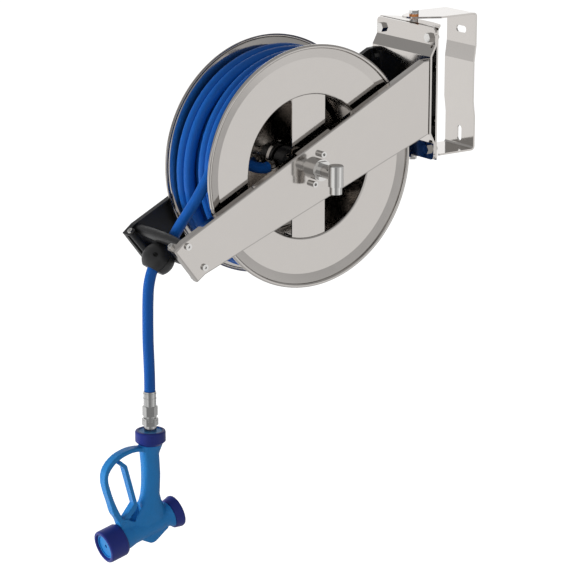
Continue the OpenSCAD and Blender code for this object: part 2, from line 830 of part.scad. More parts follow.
// Angle at which the hose leaves the outer layer, from the back over the top.
leave_angle = 158.3;

// Place on the outer layer after t turns.
function wind_point(t) =
  let (a = leave_angle + 360 * (t - wind_turns))
  [wind_start + wind_pitch * t, drum_at[0] + wind_r * cos(a), drum_at[1] + wind_r * sin(a)];
wind_steps = wind_turns * wind_rings;
wind_last = wind_point(wind_turns);
leave_dir = [0, -sin(leave_angle), cos(leave_angle)];
lead_start = wind_last + leave_dir * 2 * hose_r;

function wind_path() = concat(
  [for (i = [0:wind_steps]) wind_point(i / wind_rings)],
  [lead_start]
);

// Least distance between points of the layer at least half a turn apart.
wind_least = min([
  for (i = [0:1:wind_steps - wind_rings / 2]) for (j = [i + wind_rings / 2:1:wind_steps])
    norm(wind_point(i / wind_rings) - wind_point(j / wind_rings))
]);
echo(least_gap_in_winding = wind_least - 2 * hose_r);

module hose_winding() {
  color(hose_blue) tube(wind_path(), hose_r, 6, [1, 0, 0]);
}

function at0(p) = [0, p[0], p[1]];

// Distance along the straight run to the fairlead and the shift towards the middle there.
lead_shift = [
  [2 * hose_r + seat, 0], [2 * hose_r + 5, 0], [45, 0], [60, 0.5], [75, 2.7], [90, 7.3],
  [110, 13.8], [130, 21.8], [150, 30.8], [170, 40.1], [188, 47.2]
];

// Route of the free hose from the drum over the fairlead to the gun.
function lead_points() = concat(
  [for (q = lead_shift) wind_last + leave_dir * q[0] - [q[1], 0, 0]],
  [
    at0(ball_at - hose_in * (ball_r + 5)) + [1.2, 0, 0], at0(ball_at - hose_in * 22),
    at0(ball_at - hose_in * 8), at0(ball_at + hose_down * 6), at0(ball_at + hose_down * 22),
    [0, -709.4, -287], [0, -713, -305], [0, -714.4, -325], [0, -715.2, -350], [0, -715.5, -400],
    [0, -714, -450], [0, gun_y, -474], [0, gun_y, hose_end]
  ]
);

module hose_lead() { color(hose_blue) tube(spline(lead_points(), 3), hose_r, 10, [1, 0, 0]); }

// ---------- fairlead ----------

// Crowned roller along X about the point c.
module crowned(c) {
  color(black) translate([0, c[0], c[1]]) rotate([0, 90, 0]) difference() {
    rotate_extrude($fn = 48) polygon(concat(
      [[0, -roller_half]],
      [for (i = [-8:8]) [roller_r - 3.2 * pow(abs(i) / 8, 2), roller_half * i / 8]],
      [[0, roller_half]]
    ));
    translate([0, 0, -roller_half - 1]) cylinder(h = 2 * roller_half + 2, r = 4 + run_gap, $fn = 32);
  }
}

module upper_roller() { crowned(upper_at); }
module lower_roller() { crowned(lower_at); }

module roller_axles() {
  color(bright) for (c = [upper_at, lower_at]) {
    x_rod(-half_w - 1, half_w + 1, 4, c[0], c[1], 32);
    for (s = [-1, 1]) translate([s * half_w, c[0], c[1]]) rotate([0, 90 * s, 0]) difference() {
      cylinder(h = 4, r = 6.2, $fn = 32);
      translate([0, 0, 2]) cylinder(h = 3, r = 2.6, $fn = 6);
    }
  }
}

// Places a piece modelled along Z on the side roller axis of the side s.
module on_side(s) {
  translate([s * side_x, side_top[0], side_top[1]]) rotate([side_tilt, 0, 0]) children();
}

module side_roller(s) {
  color(black) on_side(s) difference() {
    z_rod(-side_span + lug_t + 0.5, -lug_t - 0.5, side_r, 0, 0, 48);
    z_rod(-side_span, 0, 3 + run_gap, 0, 0, 32);
  }
}

module near_side_roller() { side_roller(1); }
module far_side_roller() { side_roller(-1); }

module side_axles() {
  color(bright) for (s = [-1, 1]) on_side(s) {
    z_rod(-side_span - 5, 1, 3, 0, 0, 32);
    difference() {
      z_rod(0, 4.5, 5.4, 0, 0, 32);
      z_rod(2.5, 6, 2.4, 0, 0, 6);
    }
    z_rod(-side_span - 4, -side_span, 5.2, 0, 0, 6);
  }
}

// ---------- stop ball ----------

// Turns a piece modelled along +Z to the direction d in the (y, z) plane.
module along(d) { rotate([atan2(-d[0], d[1]), 0, 0]) children(); }

module ball_bore() {
  r = hose_r + 0.35;
  along(-hose_in) cylinder(h = ball_r + 5, r = r, $fn = 48);
  along(-hose_in) translate([0, 0, 23]) cylinder(h = 8, r1 = r, r2 = r + 3, $fn = 48);
  along(hose_down) cylinder(h = ball_r + 5, r = r, $fn = 48);
  sphere(r = r + 0.6, $fn = 48);
}

// Rotates so that +Z is square to the parting plane of the ball.
module ball_up() { along([hose_in[1], -hose_in[0]]) children(); }

screw_seat = 13;

module ball_half(s) {
  color(black) translate(at0(ball_at)) difference() {
    intersection() {
      rotate([90, 0, 0]) sphere(r = ball_r, $fn = 64);
      ball_up() translate([-ball_r - 1, -ball_r - 1, s > 0 ? 0.1 : -ball_r - 1.1])
        cube([2 * ball_r + 2, 2 * ball_r + 2, ball_r + 1]);
    }
    ball_bore();
    // flat where the hose comes out, and a groove along the parting line
    along(hose_down) translate([-ball_r - 2, -ball_r - 2, 21.7])
      cube([2 * ball_r + 4, 2 * ball_r + 4, ball_r]);
    ball_up() difference() {
      translate([0, 0, -0.6]) cylinder(h = 1.2, r = ball_r + 1, $fn = 64);
      translate([0, 0, -1]) cylinder(h = 2, r = ball_r - 1.2, $fn = 64);
    }
    ball_up() for (x = [-1, 1]) {
      translate([x * 18.5, 0, -ball_r]) cylinder(h = 2 * ball_r, r = 2.6, $fn = 24);
      translate([x * 18.5, 0, screw_seat]) cylinder(h = ball_r, r = 4, $fn = 24);
    }
  }
}

module ball_upper() { ball_half(1); }
module ball_lower() { ball_half(-1); }

module ball_screws() {
  color(bright) translate(at0(ball_at)) ball_up() for (x = [-1, 1]) translate([x * 18.5, 0, 0]) {
    translate([0, 0, -16]) cylinder(h = 16 + screw_seat, r = 2.5, $fn = 24);
    translate([0, 0, screw_seat]) cylinder(h = 3.5, r = 3.7, $fn = 24);
  }
}

// ---------- hose end ----------

module at_gun() { translate([0, gun_y, 0]) children(); }

module hose_ferrule() {
  color(bright) at_gun() difference() {
    union() {
      z_rod(hose_end - ferrule_l, hose_end, 11.6);
      for (z = [3, 12]) z_rod(hose_end - z - 2, hose_end - z, 12.1);
    }
    z_rod(hose_end - ferrule_l - 1, hose_end, 6.5);
  }
}

module ferrule_nut() {
  color(bright) at_gun() difference() {
    union() {
      z_rod(adaptor_z + 1, nut_z - 1, 14, 0, 0, 6);
      z_rod(adaptor_z, nut_z, 12);
    }
    z_rod(adaptor_z - 1, nut_z + 1, 6.5);
  }
}

module gun_adaptor() {
  color(bright) at_gun() difference() {
    union() {
      z_rod(adaptor_z - 17, adaptor_z - 4, 15, 0, 0, 6);
      z_rod(adaptor_z - adaptor_l, adaptor_z - 0.4, 11.5);
      for (z = [-3, -7]) z_rod(adaptor_z + z - 1.6, adaptor_z + z, 13.6);
    }
    z_rod(adaptor_z - adaptor_l - 1, adaptor_z + 1, 6.5);
  }
}

// ---------- gun ----------

module collar_profile(r0, r1, h, e) {
  rotate_extrude($fn = 72) polygon([
    [r0, 0], [r1 - 2 * e, 0], [r1, 2 * e], [r1, h - e], [r1 - 0.3 * e, h - 0.3 * e],
    [r1 - e, h], [r0, h]
  ]);
}

module gun_collar() {
  color(navy) at_gun() translate([0, 0, collar_z - collar_h]) collar_profile(22, collar_r, collar_h, 3);
}

module collar_ring() {
  color(gun_blue) at_gun() difference() {
    z_rod(collar_z - collar_h, collar_z - 1.5, 22 - 0.1);
    z_rod(collar_z - collar_h - 1, collar_z, 11.6);
  }
}

// Moves to the nozzle end; +Z then runs back along the barrel.
module barrel_frame() {
  translate([0, nozzle_at[0], nozzle_at[1]]) rotate([-90 + barrel_tilt, 0, 0]) children();
}

// Rounded outlines of the grip at heights z: half depth along Y, half width along X.
function grip_ring(z, y, d, w, n = 20) = [
  for (k = [0:n - 1])
    let (a = 360 * k / n, c = cos(a), s = sin(a))
    [w * sign(c) * pow(abs(c), 0.8), y + d * sign(s) * pow(abs(s), 0.8), z]
];

grip_rings = [
  [collar_z - collar_h, 0, 22, 20], [-604, -1, 20.5, 18], [-616, -3, 17.5, 16],
  [-636, -1.5, 17.3, 15.5], [-655, -0.8, 17.5, 15.5], [-677, -1.5, 17.3, 15.5], [-693, -3, 17.5, 16],
  [-706, -3.5, 21, 17.5], [-717, -5, 28, 19], [-729, -7, 34, 20], [-750, -9, 37, 19]
];

module grip() {
  rings = [for (g = reversed(grip_rings)) grip_ring(g[0], gun_y + g[1], g[2], g[3])];
  polyhedron(points = [for (r = rings) each r], faces = ring_faces(len(rings), len(rings[0])));
}

// Outer and inner edges of the guard in (y, z).
guard_outer = [
  [-722, -602], [-742, -598], [-765, -598], [-792, -606.5], [-811.5, -624], [-817.7, -645],
  [-814, -668], [-806.5, -692], [-799.5, -715], [-791, -728], [-782.5, -750]
];
guard_inner = [
  [-722, -610], [-742, -606], [-762, -606], [-787, -614.5], [-804, -629.5], [-809.7, -645],
  [-805, -667], [-797, -691], [-788, -712], [-780, -727], [-774, -750]
];

// Radius at which the soft ring sits on the gun.
nozzle_fit = 24;

// Low cheeks that carry the trigger pin.
cheek = [
  [-782, -752], [-788, -735], [-781, -728.5], [-771, -728.5], [-763, -734], [-752, -738], [-740, -752]
];

// Swelling under the barrel: place along the barrel and depth below its axis.
belly = [
  [74, 15], [78, 20.5], [84, 25.5], [90, 30.6], [96, 32.2], [101, 31.8], [108, 29], [116, 25.4],
  [125, 21.5], [133, 18.5], [133, 15]
];

module gun_body() {
  color(gun_blue) {
    difference() {
      union() {
        grip();
        barrel_frame() rotate_extrude($fn = 64) polygon([
          [0, nozzle_l - 6], [nozzle_fit, nozzle_l - 6], [nozzle_fit, nozzle_l + 4],
          [22.5, nozzle_l + 14], [20.8, 62],
          [20.5, 78], [20.5, 118], [19, 131], [20, 138], [23, 143], [26, body_l], [0, body_l]
        ]);
        yz(guard_w) polygon(concat(spline(guard_outer, 3), reversed(spline(guard_inner, 3))));
        yz(guard_w + 2) polygon(cheek);
        barrel_frame() rotate([0, 90, 0]) linear_extrude(26, center = true)
          polygon([for (q = belly) [-q[0], q[1]]]);
      }
      // valve bore, trigger slot and trigger pin hole
      barrel_frame() z_rod(nozzle_l - 7, 120, 7, 0, 0, 48);
      // room for the back edge of the soft ring
      barrel_frame() difference() {
        z_rod(-1, nozzle_l + seat, nozzle_r + 1);
        z_rod(-2, nozzle_l + 1, nozzle_fit + 0.3);
      }
      translate([-lever_w / 2 - 0.5, trigger_at[0] - 9, trigger_at[1] - 9]) cube([lever_w + 1, 46, 22]);
      translate([-lever_w / 2 - 0.5, trigger_at[0] + 14, trigger_at[1] - 4]) cube([lever_w + 1, 24, 40]);
      x_rod(-10.6, 10.6, 3, trigger_at[0], trigger_at[1], 24);
    }
  }
}

module nozzle_ring() {
  color(navy) barrel_frame() difference() {
    rotate_extrude($fn = 80) polygon([
      [0, 3], [24, 3], [25, 0.6], [26, 0], [28, 0], [30.2, 1], [nozzle_r, 3.4],
      [nozzle_r, nozzle_l - 5], [nozzle_r - 2, nozzle_l - 1], [nozzle_fit + run_gap, nozzle_l],
      [0, nozzle_l]
    ]);
    translate([0, 0, -1]) cylinder(h = nozzle_l + 2, r = 23, $fn = 64);
    translate([0, 0, nozzle_l - 6.1]) cylinder(h = 10, r = nozzle_fit + run_gap, $fn = 64);
  }
}

module nozzle_insert() {
  color(gun_blue) barrel_frame() difference() {
    translate([0, 0, 4]) cylinder(h = nozzle_l - 10.2, r = 22.95, $fn = 64);
    translate([0, 0, 3]) cylinder(h = 3, r = 21, $fn = 64);
    translate([0, 0, 1]) cylinder(h = nozzle_l, r = 3.5, $fn = 32);
  }
}

module rear_cap() {
  color(navy) barrel_frame() translate([0, 0, body_l]) rotate_extrude($fn = 80) polygon([
    [0, 0], [cap_r - 4.5, 0], [cap_r - 3, 1], [cap_r, cap_l - 4], [cap_r - 0.8, cap_l - 1],
    [cap_r - 3, cap_l], [0, cap_l]
  ]);
}

lever_path = [[-776, -736], [-770, -727], [-751.5, -706], [-772, -629], [-784, -618.5]];
// Broad lower blade of the lever.
lever_blade = [
  [-778, -731], [-764, -714], [-754, -702], [-747, -706], [-751, -716], [-762, -726], [-770, -736]
];

module trigger() {
  color(gun_blue) difference() {
    union() {
      yz(lever_w) polygon(sheet(rounded(lever_path, 4, 3), 7));
      yz(lever_w) polygon(reversed(lever_blade));
      x_rod(-lever_w / 2, lever_w / 2, 7, trigger_at[0], trigger_at[1]);
    }
    x_rod(-40, 40, 3 + run_gap, trigger_at[0], trigger_at[1], 24);
  }
}

module trigger_pin() { color(bright) x_rod(-10.5, 10.5, 2.98, trigger_at[0], trigger_at[1], 24); }

module valve_rod() {
  color(bright) barrel_frame() {
    z_rod(nozzle_l, 104, 2.5, 0, 0, 32);
    z_rod(nozzle_l, nozzle_l + 5, 6.5, 0, 0, 32);
    z_rod(88, 92, 6.5, 0, 0, 32);
  }
}

module valve_spring() {
  color(bright) barrel_frame() difference() {
    z_rod(97, 119.5, 6.2, 0, 0, 32);
    z_rod(96, 121, 4.6, 0, 0, 32);
  }
}

// ---------- every node ----------
wall_bracket();
swivel_channel();
carrier_plate();
spacer_plate();
carrier_bolts();
carrier_nuts();
pivot_bolts();
bronze_washers();
near_arm();
far_arm();
arm_bolts();
main_shaft();
shaft_nut();
inlet_housing();
housing_screws();
inlet_elbow();
near_flange();
far_flange();
drum_barrel();
near_spoke();
far_spoke();
near_bearing();
far_bearing();
water_collar();
collar_screws();
inner_fitting();
hose_tail();
spring_case();
spring_cover();
power_spring();
ratchet_wheel();
pawl();
pawl_pin();
hose_core();
hose_winding();
hose_lead();
upper_roller();
lower_roller();
near_side_roller();
far_side_roller();
roller_axles();
side_axles();
ball_upper();
ball_lower();
ball_screws();
hose_ferrule();
ferrule_nut();
gun_adaptor();
gun_collar();
collar_ring();
gun_body();
nozzle_ring();
nozzle_insert();
rear_cap();
trigger();
trigger_pin();
valve_rod();
valve_spring();
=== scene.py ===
# %% [markdown]
# # A wall mounted hose reel
#
# The real thing is a drum of polished steel sheet that turns between two pressed
# arms. A blue hose is wound on it, leaves between the rollers of a fairlead and through
# a stop ball, and ends in a wash down gun. The frame of exact solids is already made.
# Here each solid gets its finish, and the soft pieces, the hose and the moulded gun, are
# made again with rounder shapes. Everything is in metres, in the frame's own axes: x
# across the reel, y out from the wall, which is towards minus, and z up.

# %% Load the frame
import json
import math

import bmesh
import bpy
from mathutils import Matrix, Vector


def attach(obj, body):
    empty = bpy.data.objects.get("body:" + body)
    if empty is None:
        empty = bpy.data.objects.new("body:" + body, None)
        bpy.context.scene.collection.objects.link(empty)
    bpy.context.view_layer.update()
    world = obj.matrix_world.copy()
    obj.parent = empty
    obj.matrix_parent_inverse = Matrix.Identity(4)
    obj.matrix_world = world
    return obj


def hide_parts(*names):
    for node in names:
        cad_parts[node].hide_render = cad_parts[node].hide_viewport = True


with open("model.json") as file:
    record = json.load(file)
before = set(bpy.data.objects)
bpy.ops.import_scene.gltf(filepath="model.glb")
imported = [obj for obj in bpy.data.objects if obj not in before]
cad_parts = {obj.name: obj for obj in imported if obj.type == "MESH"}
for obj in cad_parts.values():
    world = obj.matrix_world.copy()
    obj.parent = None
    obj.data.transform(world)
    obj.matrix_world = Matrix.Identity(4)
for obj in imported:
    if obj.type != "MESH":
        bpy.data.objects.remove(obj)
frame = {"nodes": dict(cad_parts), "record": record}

scene = bpy.context.scene
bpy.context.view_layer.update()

# %% [markdown]
# ## Camera
# A long lens from the front right, a little above the reel, so that the ellipses of
# the two flanges barely narrow. The back vector points from the object to the camera.

# %% Camera
TURN, RISE = math.radians(54.856), math.radians(15.316)
CAMERA_PLACE = (3.72089, -3.03324, 0.90068)
LENS_MM, SENSOR_MM = 160.07, 36.0
NEAR_CLIP, FAR_CLIP = 0.1, 60.0

back = Vector((
    math.sin(TURN) * math.cos(RISE),
    -math.cos(TURN) * math.cos(RISE),
    math.sin(RISE),
))
camera = bpy.data.objects.new("camera", bpy.data.cameras.new("camera"))
scene.collection.objects.link(camera)
camera.location = CAMERA_PLACE
camera.rotation_mode = "QUATERNION"
camera.rotation_quaternion = (-back).to_track_quat("-Z", "Y")
camera.data.lens = LENS_MM
camera.data.sensor_width = SENSOR_MM
camera.data.clip_start, camera.data.clip_end = NEAR_CLIP, FAR_CLIP
scene.camera = camera

# %% [markdown]
# ## Sizes shared with the solids
# The hose follows the same route as its solid, so the numbers of that route are
# written here once more: the drum axis, the radius of the wound layer and the points
# of the free hose between the drum and the gun.

# %% Sizes of the drum and the fairlead
HOSE_R = 0.0102
SEAT = 0.0003  # left between pieces that touch
DRUM_Y, DRUM_Z = -0.405, -0.109
DRUM_W = 0.13650
FLAT_BACK = 0.0034  # from the rim of a flange to its flat
SHEET_T = 0.0016
FLANGE_IN = DRUM_W / 2 - FLAT_BACK - SHEET_T  # inner face of a flange
OPENING_R = 0.1328
BARREL_GAP = 0.0001
BARREL_R = OPENING_R + 2 * SHEET_T + BARREL_GAP  # outside of the barrel

WIND_R = 0.198
WIND_TURNS = 5
TURN_GAP = 0.0006
WIND_PITCH = 2 * HOSE_R + TURN_GAP
WIND_HALF = FLANGE_IN - HOSE_R - SEAT
WIND_START = WIND_HALF - WIND_PITCH * WIND_TURNS
LEAVE_ANGLE = math.radians(158.3)

ROLLER_R = 0.0105
ROLLER_HALF_SPACE = 0.0276
BALL_R = 0.030

# %% [markdown]
# The hose leaves the last turn along its tangent and shifts to the middle on the way
# to the fairlead. The ball rests on the two rollers, and the hose bends down in it.

# %% Hose route
def wind_point(turns):
    """Place on the outer layer after that many turns."""
    a = LEAVE_ANGLE + 2 * math.pi * (turns - WIND_TURNS)
    return Vector((
        WIND_START + WIND_PITCH * turns,
        DRUM_Y + WIND_R * math.cos(a),
        DRUM_Z + WIND_R * math.sin(a),
    ))


def spline(points, steps):
    """Catmull-Rom curve through the points."""
    out = []
    last = len(points) - 1
    for i in range(last):
        a, b, c, d = points[max(i - 1, 0)], points[i], points[i + 1], points[min(i + 2, last)]
        for k in range(steps):
            s = k / steps
            square = (2 * a - 5 * b + 4 * c - d) * s * s
            cube = (3 * b - a - 3 * c + d) * s ** 3
            out.append((2 * b + (c - a) * s + square + cube) / 2)
    out.append(points[-1].copy())
    return out


LAST = wind_point(WIND_TURNS)
LEAVE_DIR = Vector((0, -math.sin(LEAVE_ANGLE), math.cos(LEAVE_ANGLE)))
WOUND_END = LAST + LEAVE_DIR * 2 * HOSE_R

UPPER_ROLLER = Vector((0, -0.6855, -0.213))
TO_LOWER = Vector((0, 0.628, -0.778)).normalized()
OUTWARDS = Vector((0, TO_LOWER.z, -TO_LOWER.y))
BALL_OFF = math.sqrt((BALL_R + ROLLER_R + SEAT) ** 2 - ROLLER_HALF_SPACE ** 2)
BALL = UPPER_ROLLER + TO_LOWER * ROLLER_HALF_SPACE + OUTWARDS * BALL_OFF
HOSE_IN = Vector((0, -0.65, -0.76)).normalized()
HOSE_DOWN = Vector((0, -0.56, -0.83)).normalized()

# distance along the tangent, and the shift towards the middle there
SHIFT = [
    (2 * HOSE_R + SEAT, 0), (2 * HOSE_R + 0.005, 0), (0.045, 0), (0.060, 0.0005),
    (0.075, 0.0027), (0.090, 0.0073), (0.110, 0.0138), (0.130, 0.0218),
    (0.150, 0.0308), (0.170, 0.0401), (0.188, 0.0472),
]
BALL_SHIFT = Vector((0.0012, 0, 0))  # how far it still is from the middle at the ball
BEFORE_BALL, AFTER_BALL = (0.022, 0.008), (0.006, 0.022)  # from the ball's centre
# y and z below the ball, down to the ferrule
HANGING = [
    (-0.7094, -0.287), (-0.713, -0.305), (-0.7144, -0.325), (-0.7152, -0.350),
    (-0.7155, -0.400), (-0.714, -0.450), (-0.7135, -0.474), (-0.7135, -0.4975),
]
LEAD_STEPS = 6

route = [LAST + LEAVE_DIR * d - Vector((shift, 0, 0)) for d, shift in SHIFT]
route += [BALL - HOSE_IN * (BALL_R + 0.005) + BALL_SHIFT]
route += [BALL - HOSE_IN * d for d in BEFORE_BALL]
route += [BALL + HOSE_DOWN * d for d in AFTER_BALL]
route += [Vector((0, y, z)) for y, z in HANGING]
lead_path = spline(route, LEAD_STEPS)

# %% [markdown]
# ## Helpers for shapes
# A sweep carries a ring of points along a path. Its frame is carried from ring to
# ring with the smallest turn, so that the tube does not twist. A lathe turns an
# outline about an axis. Both give closed meshes with smooth shading.

# %% Mesh helper
MERGE_DIST = 1e-6


def add_mesh(name, verts, faces, sharp=None):
    """Smooth object at the origin from plain lists; sharp is the angle of a hard edge."""
    mesh = bpy.data.meshes.new(name)
    mesh.from_pydata([tuple(v) for v in verts], [], faces)
    mesh.validate()
    bm = bmesh.new()
    bm.from_mesh(mesh)
    bmesh.ops.remove_doubles(bm, verts=bm.verts, dist=MERGE_DIST)
    bmesh.ops.recalc_face_normals(bm, faces=bm.faces)
    bm.to_mesh(mesh)
    bm.free()
    obj = bpy.data.objects.new(name, mesh)
    scene.collection.objects.link(obj)
    for p in mesh.polygons:
        p.use_smooth = True
    if sharp is not None:
        mesh.set_sharp_from_angle(angle=math.radians(sharp))
    return obj


# %% Sweep
LEAD_HINT = Vector((1, 0, 0.02))
DRUM_HINT = Vector((1, 0, 0))


def frames_along(path, hint):
    """(side, up) at each point of the path, with the least twist."""
    out = []
    side = hint
    for i in range(len(path)):
        t = (path[min(i + 1, len(path) - 1)] - path[max(i - 1, 0)]).normalized()
        side = (side - t * side.dot(t)).normalized()
        out.append((side, t.cross(side)))
    return out


def sweep(name, path, radius, sides, hint=LEAD_HINT):
    """Round tube along the path, closed at both ends."""
    verts, faces = [], []
    for p, (s, u) in zip(path, frames_along(path, hint)):
        for k in range(sides):
            a = 2 * math.pi * k / sides
            verts.append(p + (s * math.cos(a) + u * math.sin(a)) * radius)
    for i in range(len(path) - 1):
        for k in range(sides):
            a, b = i * sides + k, i * sides + (k + 1) % sides
            faces.append((a, b, b + sides, a + sides))
    faces.append(tuple(range(sides))[::-1])
    last = (len(path) - 1) * sides
    faces.append(tuple(range(last, last + sides)))
    return add_mesh(name, verts, faces)


# %% Lathe
SHARP_EDGE = 35


def lathe(name, outline, origin, direction, steps):
    """Turns a closed outline of (radius, height) points about the direction."""
    turn = Vector(direction).to_track_quat("Z", "X").to_matrix().to_4x4()
    m = Matrix.Translation(origin) @ turn
    verts, faces, n = [], [], len(outline)
    for k in range(steps):
        a = 2 * math.pi * k / steps
        for r, h in outline:
            verts.append(m @ Vector((r * math.cos(a), r * math.sin(a), h)))
    for k in range(steps):
        here, after = k * n, (k + 1) % steps * n
        for i in range(n):
            j = (i + 1) % n
            faces.append((here + i, here + j, after + j, after + i))
    return add_mesh(name, verts, faces, SHARP_EDGE)


# %% [markdown]
# ## Free hose
# This is the cord of the object: it leaves the drum, passes between the rollers and
# through the stop ball, and hangs to the gun. It is made first, as one smooth tube.

# %% Free hose
HOSE_SIDES = 24

hose_lead = sweep("free_hose", lead_path, HOSE_R, HOSE_SIDES)
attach(hose_lead, "frame")
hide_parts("hose_lead")

# %% [markdown]
# ## Wound hose
# The visible turns lie as a spring rewind leaves them: two ride high against the far
# flange, one crosses to the near side and leaves a shaded valley, and three lie lower
# at the near flange. Each row gives the turn, counted back from where the hose leaves,
# the place across the drum and the radius, both in millimetres.

# %% Lay of the wound hose
RINGS = 72  # to a turn
LAY = [
    (-5.55, -50, 174), (-5.4, -51, 179), (-5.3, -52.4, 186), (-5.19, -52.7, 196),
    (-5.08, -52, 190), (-5, -50.5, 184), (-4.843, -48, 180), (-4.5, -46.5, 184),
    (-4.35, -41, 194), (-4.19, -35, 203), (-4, -44, 203.4), (-3.843, -51.5, 203.8),
    (-3.65, -47, 203), (-3.5, -34, 202), (-3.35, -24, 201), (-3.19, -14.5, 200),
    (-3, -24.5, 201), (-2.843, -31.5, 202), (-2.7, -24, 200), (-2.5, -9, 199),
    (-2.35, 2, 198), (-2.19, 9.4, 197), (-2, 12.4, 196.5), (-1.843, 17, 196),
    (-1.5, 25, 196.8), (-1.19, 31, 197), (-1, 32.2, 197), (-0.843, 38, 196.4),
    (-0.6, 46.5, 197), (-0.35, 52, 198), (-0.2, 52.75, 198), (0, 52.75, 198),
]
LOW_LAY = [
    (-6, 50, 170), (-5, 30, 172), (-4, 9, 170), (-3, -10, 171), (-2, -31, 173),
    (-1, -50, 172), (0, -50, 170),
]
LAY_ROUNDS = 5
EXACT_END = 8  # points at the end of the outer layer that stay where the rows put them
EASE = 0.5  # share of the slow start and stop between two rows, the rest is even
MM = 1000  # to a metre


def lay_at(rows, turn):
    """Place across the drum and radius at that turn, eased between the rows."""
    for (t0, x0, r0), (t1, x1, r1) in zip(rows, rows[1:]):
        if turn <= t1:
            s = (turn - t0) / (t1 - t0)
            s = s * s * (3 - 2 * s) * EASE + s * (1 - EASE)
            return x0 + (x1 - x0) * s, r0 + (r1 - r0) * s
    return rows[-1][1:]


def smooth(points, rounds):
    """Averages each inner point with its neighbours, the ends stay."""
    for _ in range(rounds):
        inside = [(a + 2 * b + c) / 4 for a, b, c in zip(points, points[1:], points[2:])]
        points = [points[0]] + inside + [points[-1]]
    return points


def lay_path(rows, keep):
    """Centre line through the rows; the last points, up to keep, are exact."""
    first, span = rows[0][0], rows[-1][0] - rows[0][0]
    count = round(span * RINGS)
    turns = [first + span * i / count for i in range(count + 1)]
    across = [Vector((*lay_at(rows, turn), 0)) for turn in turns]
    free = len(across) - keep
    across = smooth(across[:free], LAY_ROUNDS) + across[free:]
    out = []
    for turn, (x, radius, _) in zip(turns, across):
        a = LEAVE_ANGLE + 2 * math.pi * turn
        y = DRUM_Y + radius / MM * math.cos(a)
        z = DRUM_Z + radius / MM * math.sin(a)
        out.append(Vector((x / MM, y, z)))
    return out


# %% Wound hose
INNER_SIDES = 16
CORE_GAP = 0.0004
CORE_R = WIND_R - HOSE_R - CORE_GAP
FILL_DEPTH = 2.4 * HOSE_R  # the plain fill stays under the inner layer
FILL_IN, FILL_OUT = BARREL_R + 0.0002, CORE_R - FILL_DEPTH
FILL_HALF = FLANGE_IN - 0.0005
FILL_STEPS = 128

wind_path = lay_path(LAY, EXACT_END) + [LAST.lerp(WOUND_END, 0.5), WOUND_END]
winding = sweep("wound_hose", wind_path, HOSE_R, HOSE_SIDES, DRUM_HINT)
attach(winding, "drum")
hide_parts("hose_winding")

inner = sweep("inner_hose_layer", lay_path(LOW_LAY, 1), HOSE_R, INNER_SIDES, DRUM_HINT)
fill_outline = [
    (FILL_IN, -FILL_HALF), (FILL_OUT, -FILL_HALF), (FILL_OUT, FILL_HALF), (FILL_IN, FILL_HALF),
]
inner_fill = lathe(
    "inner_hose_turns", fill_outline, (0, DRUM_Y, DRUM_Z), (1, 0, 0), FILL_STEPS)
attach(inner_fill, "drum")
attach(inner, "drum")
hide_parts("hose_core")
print("wound hose", len(winding.data.polygons), "faces")

# %% [markdown]
# ## Hose inside the drum
# A short length goes from the water joint on the shaft to the wall of the barrel.

# %% Hose inside the drum
HUB = Vector((0, DRUM_Y, DRUM_Z))
FITTING_END = 0.047  # from the drum axis to where the fitting ends
TAIL_SIDE = Vector((0.012, 0, 0))  # from the drum's middle to the port in the barrel
TAIL_BEND = [Vector((0.003, -0.074, -0.0035)), Vector((0.008, -0.095, 0.005))]
TAIL_STEPS, TAIL_SIDES = 8, 20


def radial(angle):
    """Direction of a drum radius turned about X from straight up."""
    a = math.radians(angle)
    return Vector((0, -math.sin(a), math.cos(a)))


FITTING_WAY, PORT_WAY = radial(98), radial(82)
tail_route = [HUB + FITTING_WAY * (FITTING_END + d) for d in (SEAT, 0.004, 0.009)]
tail_route += [HUB + point for point in TAIL_BEND]
tail_route += [HUB + TAIL_SIDE + PORT_WAY * (BARREL_R - d) for d in (0.016, 0.008, SEAT)]
hose_tail = sweep("hose_inside_drum", spline(tail_route, TAIL_STEPS), HOSE_R, TAIL_SIDES)
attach(hose_tail, "drum")
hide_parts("hose_tail")

# %% [markdown]
# ## Moulded gun body
# The solid of the gun has its true outline with crisp edges. A copy of its mesh is
# remeshed in small voxels and relaxed, so that grip, guard and barrel run into each
# other with the soft blends of a moulding.

# %% Gun body
GUN_VOXEL = 0.0013
RELAX_FACTOR, RELAX_ROUNDS = 0.5, 10


def relaxed_copy(node, name):
    """Voxel remesh of a copy of the node's mesh, relaxed, as a new object."""
    work = bpy.data.objects.new(name + "_work", frame["nodes"][node].data.copy())
    scene.collection.objects.link(work)
    remesh = work.modifiers.new("remesh", "REMESH")
    remesh.mode, remesh.voxel_size = "VOXEL", GUN_VOXEL
    relax = work.modifiers.new("relax", "SMOOTH")
    relax.factor, relax.iterations = RELAX_FACTOR, RELAX_ROUNDS
    evaluated = work.evaluated_get(bpy.context.evaluated_depsgraph_get())
    mesh = bpy.data.meshes.new_from_object(evaluated)
    mesh.name = name
    bpy.data.objects.remove(work)
    piece = bpy.data.objects.new(name, mesh)
    scene.collection.objects.link(piece)
    for face in mesh.polygons:
        face.use_smooth = True
    print(name, len(mesh.polygons), "faces")
    return piece


gun_skin = relaxed_copy("gun_body", "gun_moulding")
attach(gun_skin, "gun")
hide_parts("gun_body")

# %% [markdown]
# ## Finishes
# Each finish is a material of its own with the shader inside it. Two effects are
# shared: a fine grain for moulded and coated surfaces, and a soft variation that
# breaks up the gloss. They are node groups with named inputs.

# %% Shared node groups
FLOAT = "NodeSocketFloat"


